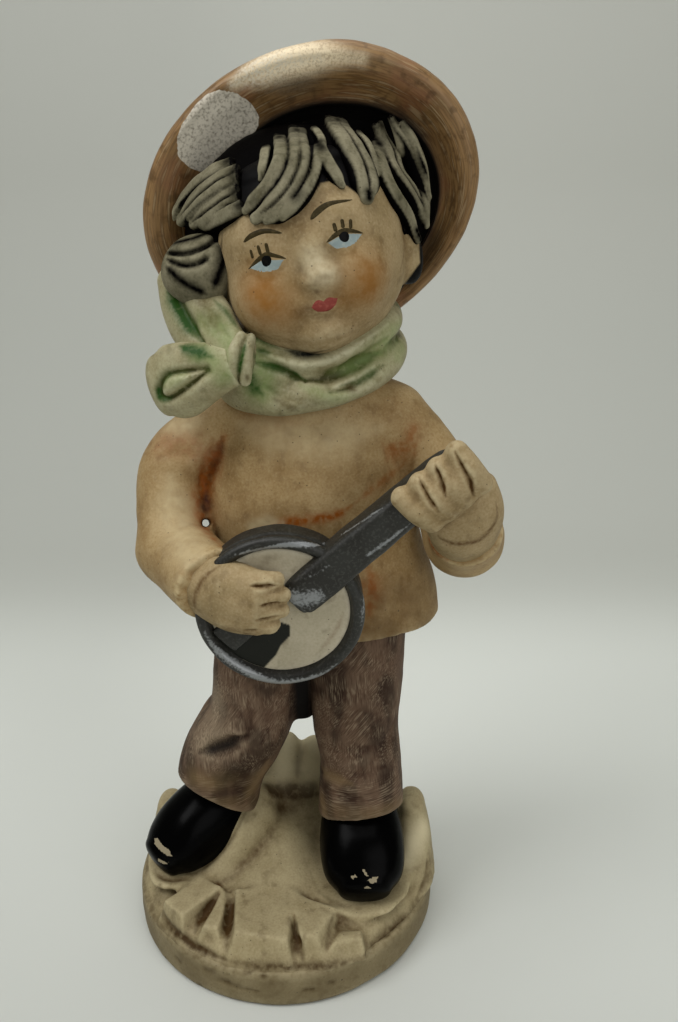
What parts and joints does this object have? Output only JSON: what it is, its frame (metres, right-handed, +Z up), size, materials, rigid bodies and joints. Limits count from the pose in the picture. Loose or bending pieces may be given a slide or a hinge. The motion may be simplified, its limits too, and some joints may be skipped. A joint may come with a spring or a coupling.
{
  "type": "figurine",
  "caption": "Hand-painted cast ceramic figurine of a boy in a wide-brimmed hat, playing a banjo and standing on a round rocky plinth.",
  "frame": {"origin": "centre of the bounding box's footprint, at the height of the plinth's underside", "axes": "+Z up; the boy faces -Y and his own left side is towards +X"},
  "size_m": [0.086, 0.0762, 0.1992],
  "materials": {
    "bisque": "matte stained bisque",
    "shoe_gloss": "gloss black glaze",
    "trouser_paint": "matte dry-brushed",
    "tunic_paint": "matte",
    "flesh_paint": "matte",
    "pewter_paint": "satin, silver dry-brushed",
    "drumskin_paint": "matte",
    "scarf_paint": "satin, green in the folds",
    "hair_paint": "matte dry-brushed over black",
    "hat_paint": "satin, brushed brown"
  },
  "bodies": {
    "root": {"plinth": "bisque", "rock_mound": "bisque", "back_crag": "bisque", "front_stone_1": "bisque", "front_stone_2": "bisque", "front_stone_3": "bisque", "front_stone_4": "bisque", "front_stone_5": "bisque", "left_shoe": "shoe_gloss", "right_shoe": "shoe_gloss", "left_trouser_leg": "trouser_paint", "right_trouser_leg": "trouser_paint", "tunic": "tunic_paint", "right_sleeve": "tunic_paint", "left_sleeve": "tunic_paint", "banjo_pot": "pewter_paint", "banjo_skin": "drumskin_paint", "banjo_neck": "pewter_paint", "banjo_tailpiece": "pewter_paint", "right_hand": "flesh_paint", "left_hand": "flesh_paint", "scarf_upper_fold": "scarf_paint", "scarf_lower_fold": "scarf_paint", "scarf_knot": "scarf_paint", "scarf_bow_loop": "scarf_paint", "scarf_tail": "scarf_paint", "head": "flesh_paint", "ear": "flesh_paint", "hair_cap": "hair_paint", "fringe_middle": "hair_paint", "fringe_left": "hair_paint", "fringe_right": "hair_paint", "side_bun": "hair_paint", "hat_brim": "hat_paint", "hat_crown": "hat_paint"}
  },
  "joints": []
}
